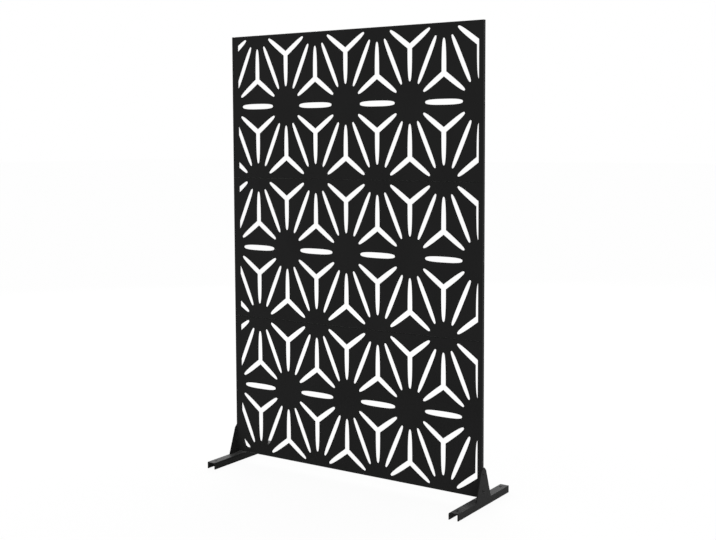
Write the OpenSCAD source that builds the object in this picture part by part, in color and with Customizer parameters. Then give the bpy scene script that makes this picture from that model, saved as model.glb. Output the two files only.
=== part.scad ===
// Free-standing laser cut screen. Three folded steel panels with a hemp leaf lattice
// cut through them are bolted one above the other and stand on two welded feet.
// Millimetres. X runs across the screen, Y from front to back and Z up. The origin is
// on the floor, midway between the feet, and the pierced face looks towards -Y.

/* [Panels] */
// Width of the screen over the folded sides
screen_w = 1200; // [1000:10:1400]
// Height of one panel
panel_h = 595; // [540:5:680]
// Thickness of the panel sheet
sheet_t = 1.5; // [1:0.5:2]
// Depth of the folded edges, from the face to the back
edge_d = 18; // [18:1:30]
// Outer radius of the folds
fold_r = 4; // [3:0.5:5]
// Height of the lowest panel above the feet
panel_gap = 8; // [5:1:20]
// Distance from the face back to the middle of the feet
face_ahead = 19; // [12:1:26]

/* [Lattice] */
// Distance between the hubs of a row
hub_pitch = 299; // [290:1:320]
// How far the first hub lies outside the screen's left side
hub_out = 11.5; // [0:0.5:25]
// How far the outer hub rows lie beyond a panel's top and bottom
row_out = 21.5; // [18:0.5:30]
// How far the whole lattice sits above the middle of a panel
lattice_up = 2; // [0:0.5:4]
// Uncut margin at the left side of the face
margin_left = 34; // [20:1:50]
// Uncut margin at the right side of the face
margin_right = 17; // [15:1:40]
// Width of the level slots between two hubs
bar_w = 22; // [12:0.5:26]
// Distance from a hub to the tip of a level slot
bar_end = 68; // [60:1:75]
// Width of the slanted slots
ray_w = 18; // [12:0.5:22]
// Distance across from the hub below to a slanted slot's lower tip
ray_low_x = 37; // [34:0.5:39]
// Distance up from the hub below to a slanted slot's lower tip
ray_low_z = 70; // [66:1:78]
// Distance across from the hub above to a slanted slot's upper tip
ray_high_x = 34; // [31:0.5:36]
// Distance down from the hub above to a slanted slot's upper tip
ray_high_z = 70.5; // [66:0.5:78]
// Width of the three-armed slots
fork_w = 20.8; // [12:0.1:24]
// Height of a fork's middle above the row that its two slanted arms point to
fork_rise = 107.5; // [102:0.5:114]
// Distance from a hub to the tip of an upright arm
stem_end = 80.5; // [74:0.5:90]
// Distance across from a hub to the tip of a slanted arm
arm_end_x = 60; // [55:0.5:66]
// Distance up or down from a hub to the tip of a slanted arm
arm_end_z = 40.8; // [37:0.1:45]
// How full the slots are: 2 gives an ellipse, and a larger value blunter ends
slot_fullness = 2.8; // [2:0.1:4]

/* [Feet] */
// Length of a foot, from front to back
foot_l = 407; // [340:1:500]
// Width of a foot
foot_w = 41; // [34:1:60]
// Height of a foot
foot_h = 27; // [20:1:40]
// Thickness of the foot's plate and angle
foot_t = 4; // [3:0.5:5]
// Outer radius of the angle's fold
foot_fold_r = 7; // [5.5:0.5:9]
// Width of the upright tongue where it leaves the foot
tongue_base_w = 115; // [90:1:150]
// Width of the tongue at its shoulders
tongue_top_w = 37; // [32:1:60]
// Height of the tongue's shoulders above the floor
shoulder_z = 137; // [130:1:170]
// Size of the cut corners above the shoulders
corner_cut = 12; // [6:1:14]
// How far the tongue stands ahead of the middle of the foot
tongue_ahead = 6; // [0:1:10]
// Diameter of the holes for ground anchors
anchor_d = 10; // [8:0.5:14]
// Distance from an anchor hole to the end of the foot
anchor_inset = 31; // [20:1:60]
// Number of stitch welds under each foot
weld_count = 4; // [2:1:6]
// Length of one stitch weld
weld_l = 35; // [20:1:50]
// Leg of the weld bead
weld_leg = 3; // [2:0.5:4]

/* [Fasteners] */
// Diameter of the bolts
bolt_d = 6; // [5:0.5:6]
// Length of a bolt under its head
bolt_l = 16; // [14:1:18]
// Diameter of the domed bolt head
head_d = 10.5; // [9.5:0.5:12]
// Height of the domed bolt head
head_h = 3.3; // [3:0.1:4]
// Width across flats of the hexagon socket
socket_af = 4; // [3:0.5:5]
// Depth of the hexagon socket
socket_d = 2; // [1.5:0.1:2.5]
// Diameter of a bolt hole
bolt_hole_d = 7; // [6.5:0.1:8]
// Distance from the face back to the middle of every bolt
bolt_back = 10; // [9.5:0.5:11]
// Number of bolts in each joint between two panels
joint_bolts = 4; // [2:1:6]
// Distance from the screen's sides to the outer joint bolts
joint_inset = 75; // [50:5:150]
// Height of the lower foot bolt above the bottom of the lowest panel
foot_bolt_low = 25; // [20:1:35]
// Distance between the two foot bolts
foot_bolt_pitch = 65; // [40:1:70]
// Diameter of the holes halfway up each side, for linking screens
link_hole_d = 7; // [5:0.5:9]
// Diameter of the domed plug that closes a link hole
plug_d = 12; // [11:0.5:14]
// Height of the plug's dome
plug_h = 2.4; // [1.6:0.1:3]
// Clearance around the plug's neck in its hole
plug_gap = 0.1; // [0.05:0.05:0.2]
// How far the plug's collar reaches past its neck, behind the sheet
plug_catch = 0.4; // [0.3:0.1:0.6]
// Length of the plug's collar
plug_collar_l = 4; // [3:0.5:6]
// Outer diameter of a washer
washer_d = 12; // [11:0.5:13]
// Hole in a washer
washer_hole_d = 6.4; // [6.2:0.1:6.8]
// Thickness of a washer
washer_t = 1.6; // [1:0.1:1.8]
// Width across flats of a nut
nut_af = 10; // [9:0.5:11]
// Height of a nut
nut_h = 5; // [4:0.5:5.5]
// Clearance around a bolt in its nut
thread_gap = 0.05; // [0.02:0.01:0.1]

/* [Hidden] */

coat = [0.13, 0.13, 0.13];      // black powder coat on the panels and feet
bead = [0.17, 0.17, 0.17];      // coated weld beads
black_zinc = [0.2, 0.2, 0.21];  // bolts, washers and nuts
nylon = [0.15, 0.15, 0.15];     // black nylon plugs

$fn = 48;
cut = 1;          // how far a cutting solid runs past what it cuts
slot_step = 10;   // degrees between the points of a slot's outline
half_w = screen_w / 2;
bottom_z = foot_h + panel_gap;
lower_joint_z = bottom_z + panel_h;
upper_joint_z = lower_joint_z + panel_h;
bolt_y = bolt_back - face_ahead;

// Hub places on the face, from the middle of a panel
row_pitch = panel_h / 2 + row_out;
columns = ceil((screen_w + hub_out - margin_right) / hub_pitch);
function hub(column, row) = [-half_w - hub_out + column * hub_pitch, row * row_pitch];

// Places of the bolts in a joint, across the screen
joint_step = (screen_w - 2 * joint_inset) / (joint_bolts - 1);
joint_xs = [for (i = [0:joint_bolts - 1]) joint_inset - half_w + i * joint_step];

// Heights of the two bolts in each foot
foot_bolt_zs = [for (i = [0, 1]) bottom_z + foot_bolt_low + i * foot_bolt_pitch];

// Heights of the link holes, halfway up each of the three panels
link_zs = [for (i = [0:2]) bottom_z + (i + 0.5) * panel_h];

// Places of the stitch welds along a foot
weld_step = (foot_l - 2 * anchor_inset) / (weld_count - 1);
weld_ys = [for (i = [0:weld_count - 1]) anchor_inset - foot_l / 2 + i * weld_step];

// A point of the curve x^n + y^n = 1, carried round through four quarters
function full_curve(angle, n) = [
    sign(cos(angle)) * pow(abs(cos(angle)), 2 / n),
    sign(sin(angle)) * pow(abs(sin(angle)), 2 / n)
];

// A slot drawn along the line from p to q, between two angles of the full curve
module curve_slot(middle, tip, width, from, to) {
    reach = norm(tip - middle);
    turn = atan2(tip[1] - middle[1], tip[0] - middle[0]);
    translate(middle) rotate(turn) polygon([
        for (angle = [from:slot_step:to])
            let (p = full_curve(angle, slot_fullness))
            [reach * p[0], width / 2 * p[1]]
    ]);
}

module slot(p, q, width) {
    curve_slot((p + q) / 2, q, width, 0, 360 - slot_step);
}

module arm(root, tip, width) {
    curve_slot(root, tip, width, -90, 90);
}

// A slanted slot between the hub below and the hub above
module ray(low, high) {
    side = sign(high[0] - low[0]);
    slot(low + [side * ray_low_x, ray_low_z],
         high - [side * ray_high_x, ray_high_z], ray_w);
}

// A three-armed slot: two arms reach for the hubs beside it in its own row, and the
// stem reaches for the next row
module fork(middle, way) {
    root = middle + [0, way * fork_rise];
    arm(root, middle + [0, way * (row_pitch - stem_end)], fork_w);
    for (side = [-1, 1])
        arm(root, middle + [side * (hub_pitch / 2 - arm_end_x), way * arm_end_z], fork_w);
}

module lattice() {
    for (column = [0:columns]) {
        slot(hub(column, 0) + [bar_end, 0], hub(column + 1, 0) - [bar_end, 0], bar_w);
        for (way = [-1, 1]) {
            fork(hub(column + 0.5, 0), way);
            fork(hub(column, -way), way);
        }
        for (side = [-0.5, 0.5]) {
            ray(hub(column, 0), hub(column + side, 1));
            ray(hub(column + side, -1), hub(column, 0));
        }
    }
}

// The lattice as it is cut: within the flat of the face and inside the side margins
module openings() {
    flat_h = panel_h - 2 * fold_r;
    intersection() {
        translate([margin_left - half_w, -flat_h / 2])
            square([screen_w - margin_left - margin_right, flat_h]);
        translate([0, lattice_up]) lattice();
    }
}

// Cross-section of a bar with rounded front edges, less an inset at its front and sides
module bar_profile(across, inset, back) {
    flat = across - 2 * fold_r;
    for (side = [-1, 1])
        translate([side * flat / 2, fold_r]) circle(fold_r - inset);
    translate([-flat / 2, inset]) square([flat, back - inset]);
    translate([inset - across / 2, fold_r]) square([across - 2 * inset, back - fold_r]);
}

// What an upright and a level bar share: a block whose rounded edges meet in mitres
module mitred_block(inset, back) {
    intersection() {
        translate([0, 0, -cut])
            linear_extrude(panel_h + 2 * cut) bar_profile(screen_w, inset, back);
        translate([half_w + cut, 0, panel_h / 2]) rotate([0, -90, 0])
            linear_extrude(screen_w + 2 * cut) bar_profile(panel_h, inset, back);
    }
}

// A pan of folded sheet, open at the back. Its corners are welded and ground flush
module panel_blank() {
    difference() {
        mitred_block(0, edge_d);
        mitred_block(sheet_t, edge_d + cut);
        translate([0, sheet_t + cut, panel_h / 2]) rotate([90, 0, 0])
            linear_extrude(sheet_t + 2 * cut) openings();
    }
}

// Bolt holes through the lip at a panel's bottom, at height 0, or its top
module joint_holes(z) {
    for (x = joint_xs)
        translate([x, bolt_back, z - sheet_t - cut])
            cylinder(d = bolt_hole_d, h = 2 * (sheet_t + cut));
}

// A pair of holes through both side lips
module side_holes(z, d) {
    for (side = [-1, 1])
        translate([side * half_w, bolt_back, z]) rotate([0, 90, 0])
            cylinder(d = d, h = 2 * (sheet_t + cut), center = true);
}

module panel(z, joint_heights, foot_heights) {
    color(coat) translate([0, -face_ahead, z]) difference() {
        panel_blank();
        side_holes(panel_h / 2, link_hole_d);
        for (h = joint_heights) joint_holes(h);
        for (h = foot_heights) side_holes(h, bolt_hole_d);
    }
}

// Feet. Each is drawn for the right side, and mirrored for the left
module foot_outline() {
    tongue_y = -tongue_ahead;
    base = tongue_base_w / 2;
    shoulder = tongue_top_w / 2;
    polygon([
        [-foot_l / 2, 0], [foot_l / 2, 0], [foot_l / 2, foot_h],
        [tongue_y + base, foot_h], [tongue_y + shoulder, shoulder_z],
        [tongue_y + shoulder - corner_cut, shoulder_z + corner_cut],
        [tongue_y - shoulder + corner_cut, shoulder_z + corner_cut],
        [tongue_y - shoulder, shoulder_z], [tongue_y - base, foot_h],
        [-foot_l / 2, foot_h]
    ]);
}

// The outer plate: the foot's outer wall and its upright tongue in one piece
module foot_plate() {
    color(coat) difference() {
        translate([half_w, 0, 0]) rotate([90, 0, 90]) linear_extrude(foot_t) foot_outline();
        for (z = foot_bolt_zs)
            translate([half_w - cut, bolt_y, z]) rotate([0, 90, 0])
                cylinder(d = bolt_hole_d, h = foot_t + 2 * cut);
    }
}

// Cross-section of the angle: the foot's top and its inner wall, folded from one strip
module angle_profile() {
    angle_w = foot_w - foot_t;
    difference() {
        intersection() {
            translate([foot_fold_r, foot_h - foot_fold_r]) circle(foot_fold_r);
            translate([0, foot_h - foot_fold_r]) square(foot_fold_r);
        }
        translate([foot_fold_r, foot_h - foot_fold_r]) circle(foot_fold_r - foot_t);
    }
    square([foot_t, foot_h - foot_fold_r]);
    translate([foot_fold_r, foot_h - foot_t]) square([angle_w - foot_fold_r, foot_t]);
}

module foot_angle() {
    color(coat) difference() {
        translate([half_w - foot_w + foot_t, foot_l / 2, 0]) rotate([90, 0, 0])
            linear_extrude(foot_l) angle_profile();
        for (side = [-1, 1])
            translate([half_w + foot_t - foot_w / 2, side * (foot_l / 2 - anchor_inset),
                       foot_h - foot_t - cut])
                cylinder(d = anchor_d, h = foot_t + 2 * cut);
    }
}

// Quarter-round beads in the corner between the outer plate and the foot's top
module foot_welds() {
    color(bead) for (y = weld_ys)
        translate([half_w, y + weld_l / 2, foot_h - foot_t]) rotate([90, 0, 0])
            linear_extrude(weld_l) intersection() {
                circle(weld_leg);
                translate([-weld_leg, -weld_leg]) square(weld_leg);
            }
}

// Cap of a sphere, standing on the origin
module dome(d, h) {
    r = (pow(d / 2, 2) + pow(h, 2)) / (2 * h);
    intersection() {
        translate([0, 0, h - r]) sphere(r);
        cylinder(d = d + cut, h = h + cut);
    }
}

// Fasteners stand on the origin: the bolt points down, and the head sits above
module bolt() {
    difference() {
        union() {
            translate([0, 0, -bolt_l]) cylinder(d = bolt_d, h = bolt_l);
            dome(head_d, head_h);
        }
        translate([0, 0, head_h - socket_d])
            cylinder(d = socket_af / cos(30), h = socket_d + cut, $fn = 6);
    }
}

module washer() {
    difference() {
        cylinder(d = washer_d, h = washer_t);
        translate([0, 0, -cut]) cylinder(d = washer_hole_d, h = washer_t + 2 * cut);
    }
}

// A hexagon with its corners turned off at both ends
module nut() {
    corner_r = nut_af / 2 / cos(30);
    turned = corner_r - nut_af / 2;
    difference() {
        intersection() {
            cylinder(r = corner_r, h = nut_h, $fn = 6);
            rotate_extrude() polygon([
                [0, 0], [nut_af / 2, 0], [corner_r, turned * tan(30)],
                [corner_r, nut_h - turned * tan(30)], [nut_af / 2, nut_h], [0, nut_h]
            ]);
        }
        translate([0, 0, -cut]) cylinder(r = bolt_d / 2 + thread_gap, h = nut_h + 2 * cut);
    }
}

// Plug of a link hole: the dome outside, a neck in the hole and a tapered collar that
// snaps in behind the sheet
module plug() {
    neck_r = link_hole_d / 2 - plug_gap;
    dome(plug_d, plug_h);
    translate([0, 0, -sheet_t - cut]) cylinder(r = neck_r, h = sheet_t + 2 * cut);
    translate([0, 0, -sheet_t - plug_collar_l])
        cylinder(r1 = neck_r - plug_catch, r2 = neck_r + plug_catch, h = plug_collar_l);
}

// Fasteners of a joint between two panels, at the height where their lips meet
module at_joint(z, rise) {
    color(black_zinc) for (x = joint_xs) translate([x, bolt_y, z + rise]) children();
}

module joint_bolt_set(z) {
    at_joint(z, sheet_t + washer_t) bolt();
}

module joint_washer_set(z) {
    at_joint(z, sheet_t) washer();
    at_joint(z, -sheet_t - washer_t) washer();
}

module joint_nut_set(z) {
    at_joint(z, -sheet_t - washer_t - nut_h) nut();
}

// Fasteners of the right side. Local +Z points out of the screen
module at_side(x, zs) {
    for (z = zs) translate([half_w + x, bolt_y, z]) rotate([0, 90, 0]) children();
}

module foot_bolt_set() {
    color(black_zinc) at_side(foot_t, foot_bolt_zs) bolt();
}

module foot_washer_set() {
    color(black_zinc) at_side(-sheet_t - washer_t, foot_bolt_zs) washer();
}

module foot_nut_set() {
    color(black_zinc) at_side(-sheet_t - washer_t - nut_h, foot_bolt_zs) nut();
}

module link_plug_set() {
    color(nylon) at_side(0, link_zs) plug();
}

module left() {
    mirror([1, 0, 0]) children();
}

panel(upper_joint_z, [0], []);  // top_panel
panel(lower_joint_z, [0, panel_h], []);  // middle_panel
panel(bottom_z, [panel_h], [for (z = foot_bolt_zs) z - bottom_z]);  // bottom_panel
left() foot_plate();  // left_foot_plate
foot_plate();  // right_foot_plate
left() foot_angle();  // left_foot_angle
foot_angle();  // right_foot_angle
left() foot_welds();  // left_foot_welds
foot_welds();  // right_foot_welds
joint_bolt_set(upper_joint_z);  // upper_joint_bolts
joint_washer_set(upper_joint_z);  // upper_joint_washers
joint_nut_set(upper_joint_z);  // upper_joint_nuts
joint_bolt_set(lower_joint_z);  // lower_joint_bolts
joint_washer_set(lower_joint_z);  // lower_joint_washers
joint_nut_set(lower_joint_z);  // lower_joint_nuts
left() foot_bolt_set();  // left_foot_bolts
left() foot_washer_set();  // left_foot_washers
left() foot_nut_set();  // left_foot_nuts
foot_bolt_set();  // right_foot_bolts
foot_washer_set();  // right_foot_washers
foot_nut_set();  // right_foot_nuts
left() link_plug_set();  // left_link_plugs
link_plug_set();  // right_link_plugs
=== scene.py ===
"""Dresses the laser cut screen: powder coated panels and feet, weld beads and bolts."""

import logging
import math
from collections.abc import Callable, Iterable
from dataclasses import dataclass, field
from enum import Enum

import bmesh
import bpy
from mathutils import Matrix, Vector


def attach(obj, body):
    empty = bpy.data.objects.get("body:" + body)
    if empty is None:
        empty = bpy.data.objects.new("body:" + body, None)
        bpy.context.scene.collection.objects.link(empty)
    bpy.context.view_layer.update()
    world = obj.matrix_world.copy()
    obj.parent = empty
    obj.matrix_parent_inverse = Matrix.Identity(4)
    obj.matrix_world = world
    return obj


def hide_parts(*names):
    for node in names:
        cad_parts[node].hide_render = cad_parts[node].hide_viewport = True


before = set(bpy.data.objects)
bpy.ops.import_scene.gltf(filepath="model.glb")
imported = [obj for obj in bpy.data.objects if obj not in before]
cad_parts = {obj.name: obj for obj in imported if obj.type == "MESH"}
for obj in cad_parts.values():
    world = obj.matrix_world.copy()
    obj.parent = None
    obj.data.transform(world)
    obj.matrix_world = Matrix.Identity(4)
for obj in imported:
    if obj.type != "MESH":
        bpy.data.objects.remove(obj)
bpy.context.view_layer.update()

MM = 0.001  # metres in a millimetre
BODY = "root"  # the screen has no moving parts, so everything rides on one body
SAME_POINT = 0.001 * MM  # points of a new piece that lie closer than this are one
SAME_CORNER = 0.01 * MM  # the same for the corners of a node of the frame
SHARP_ANGLE = 35  # degrees between two faces from which their edge stays sharp
SIXTH = math.tau / 6  # angle between two corners of a hexagon
log = logging.getLogger("screen")

Point = tuple[float, float, float]
Box = tuple[Vector, Vector]


class Slot(Enum):
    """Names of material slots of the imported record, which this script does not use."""

    WELD = "weld_coat"
    FASTENER = "fastener"


class Side(Enum):
    """The two ends of the screen, with the direction in X that leads outwards."""

    LEFT = -1
    RIGHT = 1

    @property
    def label(self) -> str:
        """Name of the side as the nodes spell it."""
        return self.name.lower()


def linear(hex_colour: str) -> tuple[float, float, float, float]:
    """Turns an sRGB hex colour into a linear one.

    Args:
        hex_colour: Colour such as "#1e1e1e".
    Returns:
        Red, green, blue and alpha, linear.
    """
    parts = [int(hex_colour[i : i + 2], 16) / 255 for i in (1, 3, 5)]
    red, green, blue = (
        part / 12.92 if part <= 0.04045 else ((part + 0.055) / 1.055) ** 2.4 for part in parts
    )
    return red, green, blue, 1.0


def add_node(
    tree: bpy.types.NodeTree,
    kind: str,
    settings: dict[str, object] | None = None,
    inputs: dict[str | int, object] | None = None,
) -> bpy.types.Node:
    """Adds a node with its settings and links.

    Args:
        tree: Node tree that the node joins.
        kind: Type name of the node.
        settings: Attributes of the node.
        inputs: Values for its sockets, or the output sockets that feed them.
    Returns:
        The new node.
    """
    node = tree.nodes.new(kind)
    for name, value in (settings or {}).items():
        setattr(node, name, value)
    for name, value in (inputs or {}).items():
        if isinstance(value, bpy.types.NodeSocket):
            tree.links.new(value, node.inputs[name])
        else:
            node.inputs[name].default_value = value
    return node


def new_material(name: str) -> tuple[bpy.types.Material, bpy.types.Node]:
    """Makes an empty node material.

    Args:
        name: Name of the material.
    Returns:
        The material and its output node.
    """
    material = bpy.data.materials.new(name)
    material.use_nodes = True
    material.node_tree.nodes.clear()
    return material, add_node(material.node_tree, "ShaderNodeOutputMaterial")


def per_metre(size_mm: float) -> float:
    """Texture scale at which one feature of a noise is this many millimetres wide."""
    return 1 / (size_mm * MM)


def background_rays(tree: bpy.types.NodeTree) -> bpy.types.NodeSocket:
    """Tells the rays that show the background from those that bring light.

    Args:
        tree: Node tree that the nodes join.
    Returns:
        Socket that is 1 for a camera, glossy or transmission ray, and otherwise 0.
    """
    path = add_node(tree, "ShaderNodeLightPath").outputs
    seen = add_node(
        tree,
        "ShaderNodeMath",
        {"operation": "MAXIMUM"},
        {0: path["Is Camera Ray"], 1: path["Is Glossy Ray"]},
    ).outputs["Value"]
    return add_node(
        tree,
        "ShaderNodeMath",
        {"operation": "MAXIMUM"},
        {0: seen, 1: path["Is Transmission Ray"]},
    ).outputs["Value"]


@dataclass(frozen=True)
class PowderCoat:
    """Polyester powder coat, sprayed dry on steel and baked.

    The powder flows together into a fine orange peel, which spreads every highlight, so
    the black stays matt and even. Its unmelted grains scatter light at a grazing angle,
    which makes edges and tops that are seen from the side paler.
    """

    name: str
    film: str = "#1e1e1e"  # colour of the film where it is thickest
    thin: str = "#212121"  # colour where the spray left it thinner
    roughness: tuple[float, float] = (0.42, 0.5)
    specular: float = 0.018
    sheen: float = 0.34  # haze of the grains at a grazing angle
    sheen_roughness: float = 0.3
    peel_mm: float = 2.4  # orange peel, drawn coarser than the real 1 mm so that it shows
    peel_height_mm: float = 0.03
    peel_strength: float = 0.6
    grit_mm: float = 0.7  # grains of the powder that did not melt flat
    grit_height_mm: float = 0.012
    grit_strength: float = 0.5
    drift_mm: float = 260.0  # width of the bands that the spray gun leaves
    span: tuple[float, float] = (0.3, 0.7)  # values of drift and peel that reach the limits

    def build(self) -> bpy.types.Material:
        """Builds the material.

        Returns:
            The finished material.
        """
        material, output = new_material(self.name)
        tree = material.node_tree
        place = add_node(tree, "ShaderNodeTexCoord").outputs["Object"]
        drift = add_node(
            tree,
            "ShaderNodeTexNoise",
            inputs={"Vector": place, "Scale": per_metre(self.drift_mm), "Detail": 3.0},
        ).outputs["Fac"]
        colour = add_node(tree, "ShaderNodeValToRGB", inputs={"Fac": drift})
        tones = (self.film, self.thin)
        for stop, value, tone in zip(colour.color_ramp.elements, self.span, tones):
            stop.position = value
            stop.color = linear(tone)
        peel = add_node(
            tree,
            "ShaderNodeTexNoise",
            inputs={"Vector": place, "Scale": per_metre(self.peel_mm), "Detail": 2.0},
        ).outputs["Fac"]
        grit = add_node(
            tree,
            "ShaderNodeTexVoronoi",
            {"feature": "SMOOTH_F1"},
            {"Vector": place, "Scale": per_metre(self.grit_mm)},
        ).outputs["Distance"]
        dull = add_node(
            tree,
            "ShaderNodeMapRange",
            inputs={
                "Value": peel,
                "From Min": self.span[0],
                "From Max": self.span[1],
                "To Min": self.roughness[0],
                "To Max": self.roughness[1],
            },
        ).outputs["Result"]
        waves = add_node(
            tree,
            "ShaderNodeBump",
            inputs={
                "Height": peel,
                "Distance": self.peel_height_mm * MM,
                "Strength": self.peel_strength,
            },
        ).outputs["Normal"]
        relief = add_node(
            tree,
            "ShaderNodeBump",
            inputs={
                "Height": grit,
                "Distance": self.grit_height_mm * MM,
                "Strength": self.grit_strength,
                "Normal": waves,
            },
        ).outputs["Normal"]
        shader = add_node(
            tree,
            "ShaderNodeBsdfPrincipled",
            inputs={
                "Base Color": colour.outputs["Color"],
                "Roughness": dull,
                "Specular IOR Level": self.specular,
                "Sheen Weight": self.sheen,
                "Sheen Roughness": self.sheen_roughness,
                "Normal": relief,
            },
        )
        tree.links.new(shader.outputs["BSDF"], output.inputs["Surface"])
        return material


@dataclass(frozen=True)
class BlackZinc:
    """Steel fasteners, zinc plated and then passivated black.

    The plating is a thin dark metal film: glossier than the coat around it, with a faint
    yellow and violet cast where the bath worked unevenly, and a fine turned grain.
    """

    name: str
    cool: str = "#2a2a2d"
    warm: str = "#2e2c28"
    roughness: tuple[float, float] = (0.36, 0.48)
    cast_mm: float = 3.0
    cast_span: tuple[float, float] = (0.35, 0.65)  # values of the cast that are all cool or warm
    grain_mm: float = 0.25
    grain_height_mm: float = 0.01
    grain_strength: float = 0.4

    def build(self) -> bpy.types.Material:
        """Builds the material.

        Returns:
            The finished material.
        """
        material, output = new_material(self.name)
        tree = material.node_tree
        place = add_node(tree, "ShaderNodeTexCoord").outputs["Object"]
        cast = add_node(
            tree,
            "ShaderNodeTexNoise",
            inputs={"Vector": place, "Scale": per_metre(self.cast_mm), "Detail": 2.0},
        ).outputs["Fac"]
        colour = add_node(tree, "ShaderNodeValToRGB", inputs={"Fac": cast})
        tones = (self.cool, self.warm)
        for stop, value, tone in zip(colour.color_ramp.elements, self.cast_span, tones):
            stop.position = value
            stop.color = linear(tone)
        grain = add_node(
            tree,
            "ShaderNodeTexNoise",
            inputs={"Vector": place, "Scale": per_metre(self.grain_mm), "Detail": 3.0},
        ).outputs["Fac"]
        dull = add_node(
            tree,
            "ShaderNodeMapRange",
            inputs={"Value": grain, "To Min": self.roughness[0], "To Max": self.roughness[1]},
        ).outputs["Result"]
        relief = add_node(
            tree,
            "ShaderNodeBump",
            inputs={
                "Height": grain,
                "Distance": self.grain_height_mm * MM,
                "Strength": self.grain_strength,
            },
        ).outputs["Normal"]
        shader = add_node(
            tree,
            "ShaderNodeBsdfPrincipled",
            inputs={
                "Base Color": colour.outputs["Color"],
                "Metallic": 1.0,
                "Roughness": dull,
                "Normal": relief,
            },
        )
        tree.links.new(shader.outputs["BSDF"], output.inputs["Surface"])
        return material


@dataclass(frozen=True)
class MouldedNylon:
    """Black nylon, moulded in a spark-eroded tool.

    The tool leaves a fine even grain, so the plug is as matt as the coat around it, but
    its dome still gathers a soft spot of light.
    """

    name: str
    colour: str = "#1b1b1b"
    roughness: float = 0.45
    specular: float = 0.3
    grain_mm: float = 0.3
    grain_height_mm: float = 0.015
    grain_strength: float = 0.5

    def build(self) -> bpy.types.Material:
        """Builds the material.

        Returns:
            The finished material.
        """
        material, output = new_material(self.name)
        tree = material.node_tree
        place = add_node(tree, "ShaderNodeTexCoord").outputs["Object"]
        grain = add_node(
            tree,
            "ShaderNodeTexNoise",
            inputs={"Vector": place, "Scale": per_metre(self.grain_mm), "Detail": 2.0},
        ).outputs["Fac"]
        relief = add_node(
            tree,
            "ShaderNodeBump",
            inputs={
                "Height": grain,
                "Distance": self.grain_height_mm * MM,
                "Strength": self.grain_strength,
            },
        ).outputs["Normal"]
        shader = add_node(
            tree,
            "ShaderNodeBsdfPrincipled",
            inputs={
                "Base Color": linear(self.colour),
                "Roughness": self.roughness,
                "Specular IOR Level": self.specular,
                "Normal": relief,
            },
        )
        tree.links.new(shader.outputs["BSDF"], output.inputs["Surface"])
        return material


@dataclass(frozen=True)
class StudioWhite:
    """Seamless white paper, which fades the object's shadow where it is seen.

    Seen straight, in a mirror or through glass, most of it is plain white. As a source of
    light on the object it is ordinary lit paper.
    """

    name: str = "studio_paper"
    paper: str = "#fafafa"
    fade: float = 0.93  # share of the paper that shows as plain white
    glow: float = 1.0  # strength of that white, at which the picture clips

    def build(self) -> bpy.types.Material:
        """Builds the material.

        Returns:
            The finished material.
        """
        material, output = new_material(self.name)
        tree = material.node_tree
        share = add_node(
            tree,
            "ShaderNodeMath",
            {"operation": "MULTIPLY"},
            {0: background_rays(tree), 1: self.fade},
        ).outputs["Value"]
        paper = add_node(tree, "ShaderNodeBsdfDiffuse", inputs={"Color": linear(self.paper)})
        glow = add_node(
            tree,
            "ShaderNodeEmission",
            inputs={"Color": (1, 1, 1, 1), "Strength": self.glow},
        )
        mix = add_node(
            tree,
            "ShaderNodeMixShader",
            inputs={0: share, 1: paper.outputs["BSDF"], 2: glow.outputs["Emission"]},
        )
        tree.links.new(mix.outputs["Shader"], output.inputs["Surface"])
        return material


def dress(name: str, material: bpy.types.Material) -> None:
    """Gives a node of the frame its finish.

    Args:
        name: Name of the node.
        material: Finish that it takes.
    """
    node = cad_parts[name]
    node.data.materials.clear()
    node.data.materials.append(material)
    log.info("dressed %s in %s", name, material.name)


def solids_of(name: str) -> list[Box]:
    """Finds the separate solids of a node of the frame.

    Args:
        name: Name of the node.
    Returns:
        The lowest and highest corner of each solid.
    """
    mesh = bmesh.new()
    mesh.from_mesh(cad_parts[name].data)
    bmesh.ops.remove_doubles(mesh, verts=mesh.verts, dist=SAME_CORNER)
    left = set(mesh.verts)
    boxes = []
    while left:
        front = [left.pop()]
        found = list(front)
        while front:
            near = {e.other_vert(v) for v in front for e in v.link_edges} & left
            left -= near
            front = list(near)
            found += front
        places = [v.co for v in found]
        low = Vector(min(p[i] for p in places) for i in range(3))
        high = Vector(max(p[i] for p in places) for i in range(3))
        boxes.append((low, high))
    mesh.free()
    return sorted(boxes, key=lambda box: tuple(box[0]))


def make_piece(
    name: str, mesh: bmesh.types.BMesh, material: bpy.types.Material, node: str
) -> bpy.types.Object:
    """Turns mesh code into a piece that stands for a node of the frame.

    Args:
        name: Name of the new piece.
        mesh: Its geometry, which is freed.
        material: Its finish.
        node: Node that it replaces.
    Returns:
        The new object.
    """
    bmesh.ops.remove_doubles(mesh, verts=mesh.verts, dist=SAME_POINT)
    bmesh.ops.dissolve_degenerate(mesh, edges=mesh.edges, dist=SAME_POINT)
    bmesh.ops.recalc_face_normals(mesh, faces=mesh.faces)
    data = bpy.data.meshes.new(name)
    mesh.to_mesh(data)
    mesh.free()
    data.polygons.foreach_set("use_smooth", [True] * len(data.polygons))
    data.set_sharp_from_angle(angle=math.radians(SHARP_ANGLE))
    data.materials.append(material)
    piece = bpy.data.objects.new(name, data)
    bpy.context.scene.collection.objects.link(piece)
    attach(piece, BODY)
    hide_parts(node)
    log.info("built %s with %d faces", name, len(data.polygons))
    return piece


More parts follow.
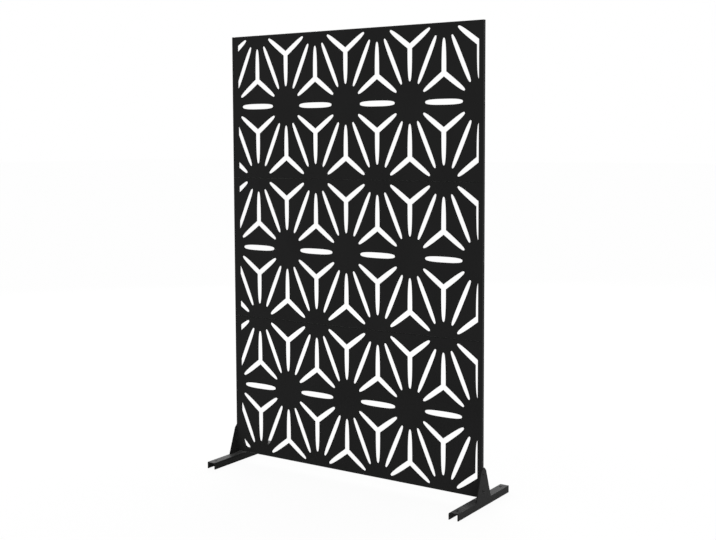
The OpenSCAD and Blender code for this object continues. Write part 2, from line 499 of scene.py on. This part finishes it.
def join_rings(
    mesh: bmesh.types.BMesh, rings: list[list[Point]]
) -> list[list[bmesh.types.BMVert]]:
    """Joins rings of points into a skin that is open at both ends.

    Args:
        mesh: Mesh that the skin joins.
        rings: Points of each ring, as many in each.
    Returns:
        The corners of the skin, ring by ring.
    """
    rows = [[mesh.verts.new(point) for point in ring] for ring in rings]
    count = len(rings[0])
    for lower, upper in zip(rows, rows[1:]):
        for i in range(count):
            j = (i + 1) % count
            mesh.faces.new((lower[i], lower[j], upper[j], upper[i]))
    return rows


@dataclass
class Panels:
    """The three folded and pierced panels, which keep the shapes of the frame."""

    finish: PowderCoat = PowderCoat("panel_powder_coat")
    nodes: tuple[str, ...] = ("top_panel", "middle_panel", "bottom_panel")

    def build(self) -> None:
        """Dresses each panel."""
        coat = self.finish.build()
        for name in self.nodes:
            dress(name, coat)


@dataclass
class WeldBead:
    """One stitch weld: overlapping crescents laid along an inner corner."""

    leg: float = 3.0 * MM
    crescent: float = 2.2 * MM  # advance of the arc from one crescent to the next
    bow: float = 1.4 * MM  # how far the middle of a crescent runs ahead of its sides
    dip: float = 0.16  # depth of the grooves between crescents, as a share of the leg
    fullness: float = 0.6  # power of the crescents' sine: below 1 they are full and round
    end_size: float = 0.15  # size of the bead's two ends, as a share of the leg
    steps: int = 6  # rings in one crescent
    sections: int = 8  # strips across the bead

    def radius(self, along: float, turn: float, length: float) -> float:
        """Radius of the bead at one place.

        Args:
            along: Distance from the start of the weld.
            turn: Share of the way across the bead, from 0 to 1.
            length: Length of the weld.
        Returns:
            Distance from the corner to the skin of the bead.
        """
        phase = (along - self.bow * math.sin(math.pi * turn)) / self.crescent
        crest = abs(math.sin(math.pi * phase)) ** self.fullness
        near_end = min(along, length - along) / self.leg
        taper = math.sqrt(max(0.0, 1 - (1 - min(1.0, near_end)) ** 2))
        size = self.end_size + (1 - self.end_size) * taper
        return self.leg * (1 - self.dip + self.dip * crest) * size

    def add_to(self, mesh: bmesh.types.BMesh, box: Box, side: Side) -> None:
        """Lays the bead in the corner between a foot's plate and its top.

        Args:
            mesh: Mesh that the bead joins.
            box: Box of the solid that it stands for.
            side: Side of the screen, whose plate lies outwards.
        """
        low, high = box
        corner_x = high.x if side is Side.RIGHT else low.x
        length = high.y - low.y
        count = round(length / self.crescent) * self.steps
        rings = []
        for k in range(count + 1):
            along = length * k / count
            ring = [(corner_x, low.y + along, high.z)]
            for i in range(self.sections + 1):
                turn = i / self.sections
                r = self.radius(along, turn, length)
                across = -side.value * r * math.sin(turn * math.pi / 2)
                down = r * math.cos(turn * math.pi / 2)
                ring.append((corner_x + across, low.y + along, high.z - down))
            rings.append(ring)
        rows = join_rings(mesh, rings)
        for end in (rows[0], rows[-1]):
            mesh.faces.new(end)


@dataclass
class Feet:
    """The two feet: cut plate, folded angle and the welds between them."""

    finish: PowderCoat = PowderCoat("foot_powder_coat")
    bead_finish: PowderCoat = PowderCoat(
        "weld_powder_coat", film="#212121", thin="#262626", roughness=(0.4, 0.5)
    )
    bead: WeldBead = field(default_factory=WeldBead)

    def build(self) -> None:
        """Dresses the plates and angles, and builds the weld beads."""
        coat = self.finish.build()
        bead_coat = self.bead_finish.build()
        for side in Side:
            dress(f"{side.label}_foot_plate", coat)
            dress(f"{side.label}_foot_angle", coat)
            self.weld(side, bead_coat)

    def weld(self, side: Side, coat: bpy.types.Material) -> None:
        """Builds the stitch welds of one foot.

        Args:
            side: Side of the screen.
            coat: Finish over the welds.
        """
        node = f"{side.label}_foot_welds"
        mesh = bmesh.new()
        for box in solids_of(node):
            self.bead.add_to(mesh, box, side)
        make_piece(f"{side.label}_foot_weld_beads", mesh, coat, node)


@dataclass
class SocketBolt:
    """A domed bolt with a hexagon socket and a rolled thread."""

    shank_d: float = 6.0 * MM
    pitch: float = 1.0 * MM
    thread_depth: float = 0.6 * MM
    thread: tuple[tuple[float, float], ...] = (  # shares of the pitch and of the depth
        (0.0, 0.0),
        (0.375, 1.0),
        (0.5, 1.0),
        (0.875, 0.0),
    )
    tip_chamfer: float = 0.8 * MM
    head_d: float = 10.5 * MM
    head_h: float = 3.3 * MM
    rim: float = 0.35 * MM  # upright edge of the head, under the dome
    socket_af: float = 4.0 * MM
    socket_depth: float = 2.0 * MM
    mouth_rim: float = 1.04  # where the dome starts, over the radius of the socket's corners
    around: int = 24  # points in each ring, a multiple of the socket's six corners
    dome_steps: int = 6

    def round_ring(self, radius: float, z: float) -> list[Point]:
        """Ring of points on a circle."""
        return self.ring(lambda angle: radius, z)

    def ring(self, radius: Callable[[float], float], z: float) -> list[Point]:
        """Ring of points at one height.

        Args:
            radius: Gives the radius at an angle.
            z: Height of the ring.
        Returns:
            The points, anticlockwise.
        """
        angles = [math.tau * i / self.around for i in range(self.around)]
        return [(radius(a) * math.cos(a), radius(a) * math.sin(a), z) for a in angles]

    def socket_radius(self, angle: float) -> float:
        """Distance from the axis to the socket's wall at an angle."""
        return self.socket_af / 2 / math.cos(angle % SIXTH - SIXTH / 2)

    def head_rings(self) -> list[list[Point]]:
        """Rings of the head, from the floor of the socket out to the underside.

        Returns:
            The rings, in order.
        """
        dome_r = ((self.head_d / 2) ** 2 + self.head_h**2) / (2 * self.head_h)
        mouth = self.socket_af / 2 / math.cos(SIXTH / 2)
        inner = mouth * self.mouth_rim
        outer = self.head_d / 2
        floor_z = self.head_h - self.socket_depth

        def dome_z(radius: float) -> float:
            """Height of the dome at a distance from the axis."""
            return self.head_h - dome_r + math.sqrt(dome_r**2 - radius**2)

        rings = [
            self.ring(self.socket_radius, floor_z),
            self.ring(self.socket_radius, dome_z(mouth)),
        ]
        for i in range(self.dome_steps + 1):
            r = inner + (outer - inner) * i / self.dome_steps
            rings.append(self.round_ring(r, max(dome_z(r), self.rim)))
        rings.append(self.round_ring(outer, 0.0))
        rings.append(self.round_ring(self.shank_d / 2 - self.thread_depth, 0.0))
        return rings

    def head_top(self) -> float:
        """Height of the highest ring of the head."""
        return max(point[2] for ring in self.head_rings() for point in ring)

    def add_head(self, mesh: bmesh.types.BMesh) -> None:
        """Adds the head, open below where the shank joins it."""
        socket_floor = join_rings(mesh, self.head_rings())[0]
        mesh.faces.new(socket_floor)

    def add_thread(self, mesh: bmesh.types.BMesh, length: float) -> None:
        """Adds the threaded shank, which ends in a chamfered tip.

        Args:
            mesh: Mesh that the shank joins.
            length: Length under the head.
        """
        root = self.shank_d / 2 - self.thread_depth
        turns = math.ceil(length / self.pitch)
        rows = []
        # The thread runs on past both ends, where its rows fall flat onto the end's plane
        for turn in range(-1, turns + 2):
            for rise, share in self.thread:
                row = []
                for i in range(self.around):
                    z = -(turn + rise + i / self.around) * self.pitch
                    inside = -length < z < 0
                    limit = self.shank_d / 2 - max(0.0, self.tip_chamfer - (z + length))
                    r = min(root + share * self.thread_depth, limit) if inside else root
                    if z <= -length + self.tip_chamfer:
                        r = min(r, self.shank_d / 2 - self.tip_chamfer)
                    z = min(0.0, max(-length, z))
                    angle = math.tau * i / self.around
                    row.append(mesh.verts.new((r * math.cos(angle), r * math.sin(angle), z)))
                rows.append(row)
        span = len(self.thread)
        for k in range(len(rows) - span - 1):
            for i in range(self.around):
                j = (i + 1) % self.around
                hop = 0 if j else span  # a full turn ends one pitch further down
                corners = (rows[k][i], rows[k + hop][j], rows[k + 1 + hop][j], rows[k + 1][i])
                mesh.faces.new(corners)

    def add_to(self, mesh: bmesh.types.BMesh, place: Matrix, length: float) -> None:
        """Adds one bolt.

        Args:
            mesh: Mesh that the bolt joins.
            place: Where the underside of its head lies, with +Z towards the head.
            length: Length under the head.
        """
        bolt = bmesh.new()
        self.add_head(bolt)
        self.add_thread(bolt, length)
        bmesh.ops.remove_doubles(bolt, verts=bolt.verts, dist=SAME_POINT)
        open_edges = [e for e in bolt.edges if e.is_boundary]
        bmesh.ops.holes_fill(bolt, edges=open_edges, sides=0)
        bolt.transform(place)
        data = bpy.data.meshes.new("bolt")
        bolt.to_mesh(data)
        bolt.free()
        mesh.from_mesh(data)
        bpy.data.meshes.remove(data)


@dataclass
class Fasteners:
    """Bolts, washers and nuts of the panel joints and of the feet."""

    finish: BlackZinc = BlackZinc("black_zinc_steel")
    bolt: SocketBolt = field(default_factory=SocketBolt)
    joints: tuple[str, ...] = ("upper_joint", "lower_joint")

    def build(self) -> None:
        """Dresses the washers and nuts, and builds the bolts."""
        plating = self.finish.build()
        heads = {joint: Vector((0, 0, 1)) for joint in self.joints}
        heads |= {f"{side.label}_foot": Vector((side.value, 0, 0)) for side in Side}
        for group in heads:
            dress(f"{group}_washers", plating)
            dress(f"{group}_nuts", plating)
        for group, out in heads.items():
            self.build_bolts(group, out, plating)

    def build_bolts(self, group: str, out: Vector, plating: bpy.types.Material) -> None:
        """Builds the bolts of one group in the places of the frame's own.

        Args:
            group: First part of the node's name.
            out: Direction from the tip of a bolt to its head.
            plating: Finish of the bolts.
        """
        node = f"{group}_bolts"
        turn = out.to_track_quat("Z", "X").to_matrix().to_4x4()
        head_top = self.bolt.head_top()
        mesh = bmesh.new()
        for low, high in solids_of(node):
            centre = (low + high) / 2
            reach = abs((high - low).dot(out)) / 2
            seat = centre + out * (reach - head_top)
            length = 2 * reach - head_top
            self.bolt.add_to(mesh, Matrix.Translation(seat) @ turn, length)
        make_piece(f"{group}_socket_bolts", mesh, plating, node)


@dataclass
class Plugs:
    """Snap-in plugs that close the link holes, which keep the shapes of the frame."""

    finish: MouldedNylon = MouldedNylon("moulded_nylon")

    def build(self) -> None:
        """Dresses the plugs of both sides."""
        nylon = self.finish.build()
        for side in Side:
            dress(f"{side.label}_link_plugs", nylon)


@dataclass(frozen=True)
class SoftBox:
    """A lamp behind diffusing cloth, sizes and places in metres."""

    name: str
    place: Point
    target: Point
    size: tuple[float, float]
    watts: float


@dataclass
class Studio:
    """White paper, even light and the camera of the photograph."""

    floor_half: float = 60.0  # half the side of the paper, in metres
    focal_px: float = 1115.7  # in pixels of the 716 by 540 picture
    picture_w: float = 716.0
    shift_px: float = -46.0  # how far the picture's middle lies below the optical axis
    eye: Point = (2.5261, -3.6816, 1.3809)
    yaw: float = 34.12
    pitch: float = 4.28
    roll: float = -0.23
    sensor_mm: float = 36.0
    fill: float = 0.9  # strength of the white room as light on the object
    white: float = 1.0  # strength of the white room where it is seen
    soft_boxes: tuple[SoftBox, ...] = (
        SoftBox("back_soft_box", (-3.3, 3.9, 2.5), (0.0, 0.0, 0.0), (4.0, 2.0), 180.0),
    )

    def build(self) -> None:
        """Sets up the room, the paper, the lamps and the camera."""
        self.light_room()
        self.lay_paper()
        self.hang_lamps()
        self.set_camera()

    def light_room(self) -> None:
        """Makes the room white to the camera and in reflections, and a soft fill light."""
        world = bpy.data.worlds.new("white_room")
        bpy.context.scene.world = world
        world.use_nodes = True
        tree = world.node_tree
        tree.nodes.clear()
        strength = add_node(
            tree,
            "ShaderNodeMapRange",
            inputs={"Value": background_rays(tree), "To Min": self.fill, "To Max": self.white},
        ).outputs["Result"]
        room = add_node(
            tree,
            "ShaderNodeBackground",
            inputs={"Color": (1, 1, 1, 1), "Strength": strength},
        )
        output = add_node(tree, "ShaderNodeOutputWorld")
        tree.links.new(room.outputs["Background"], output.inputs["Surface"])

    def lay_paper(self) -> None:
        """Lays the white paper that the screen stands on."""
        mesh = bmesh.new()
        bmesh.ops.create_grid(mesh, x_segments=1, y_segments=1, size=self.floor_half)
        data = bpy.data.meshes.new("studio_floor")
        mesh.to_mesh(data)
        mesh.free()
        data.materials.append(StudioWhite().build())
        floor = bpy.data.objects.new("studio_floor", data)
        bpy.context.scene.collection.objects.link(floor)

    def hang_lamps(self) -> None:
        """Hangs the soft boxes, of which one behind the screen makes the tops paler."""
        for box in self.soft_boxes:
            lamp = bpy.data.lights.new(box.name, "AREA")
            lamp.shape = "RECTANGLE"
            lamp.size, lamp.size_y = box.size
            lamp.energy = box.watts
            hung = bpy.data.objects.new(box.name, lamp)
            hung.location = box.place
            aim = Vector(box.target) - Vector(box.place)
            hung.rotation_euler = aim.to_track_quat("-Z", "Y").to_euler()
            bpy.context.scene.collection.objects.link(hung)

    def set_camera(self) -> None:
        """Sets the camera where the photograph was taken from."""
        data = bpy.data.cameras.new("photo_camera")
        data.sensor_width = self.sensor_mm
        data.lens = self.focal_px / self.picture_w * self.sensor_mm
        data.shift_y = self.shift_px / self.picture_w
        data.clip_end = 2 * self.floor_half
        camera = bpy.data.objects.new("photo_camera", data)
        turn = (
            Matrix.Rotation(math.radians(self.yaw), 4, "Z")
            @ Matrix.Rotation(math.radians(90 - self.pitch), 4, "X")
            @ Matrix.Rotation(math.radians(self.roll), 4, "Z")
        )
        camera.matrix_world = Matrix.Translation(self.eye) @ turn
        bpy.context.scene.collection.objects.link(camera)
        bpy.context.scene.camera = camera


def main() -> None:
    """Builds the screen's looks and the studio around it."""
    logging.basicConfig(level=logging.INFO, format="%(name)s: %(message)s")
    for part in (Panels(), Feet(), Fasteners(), Plugs(), Studio()):
        part.build()
        log.info("finished %s", type(part).__name__)
    bpy.context.scene.view_settings.view_transform = "Standard"


if __name__ == "__main__":
    main()
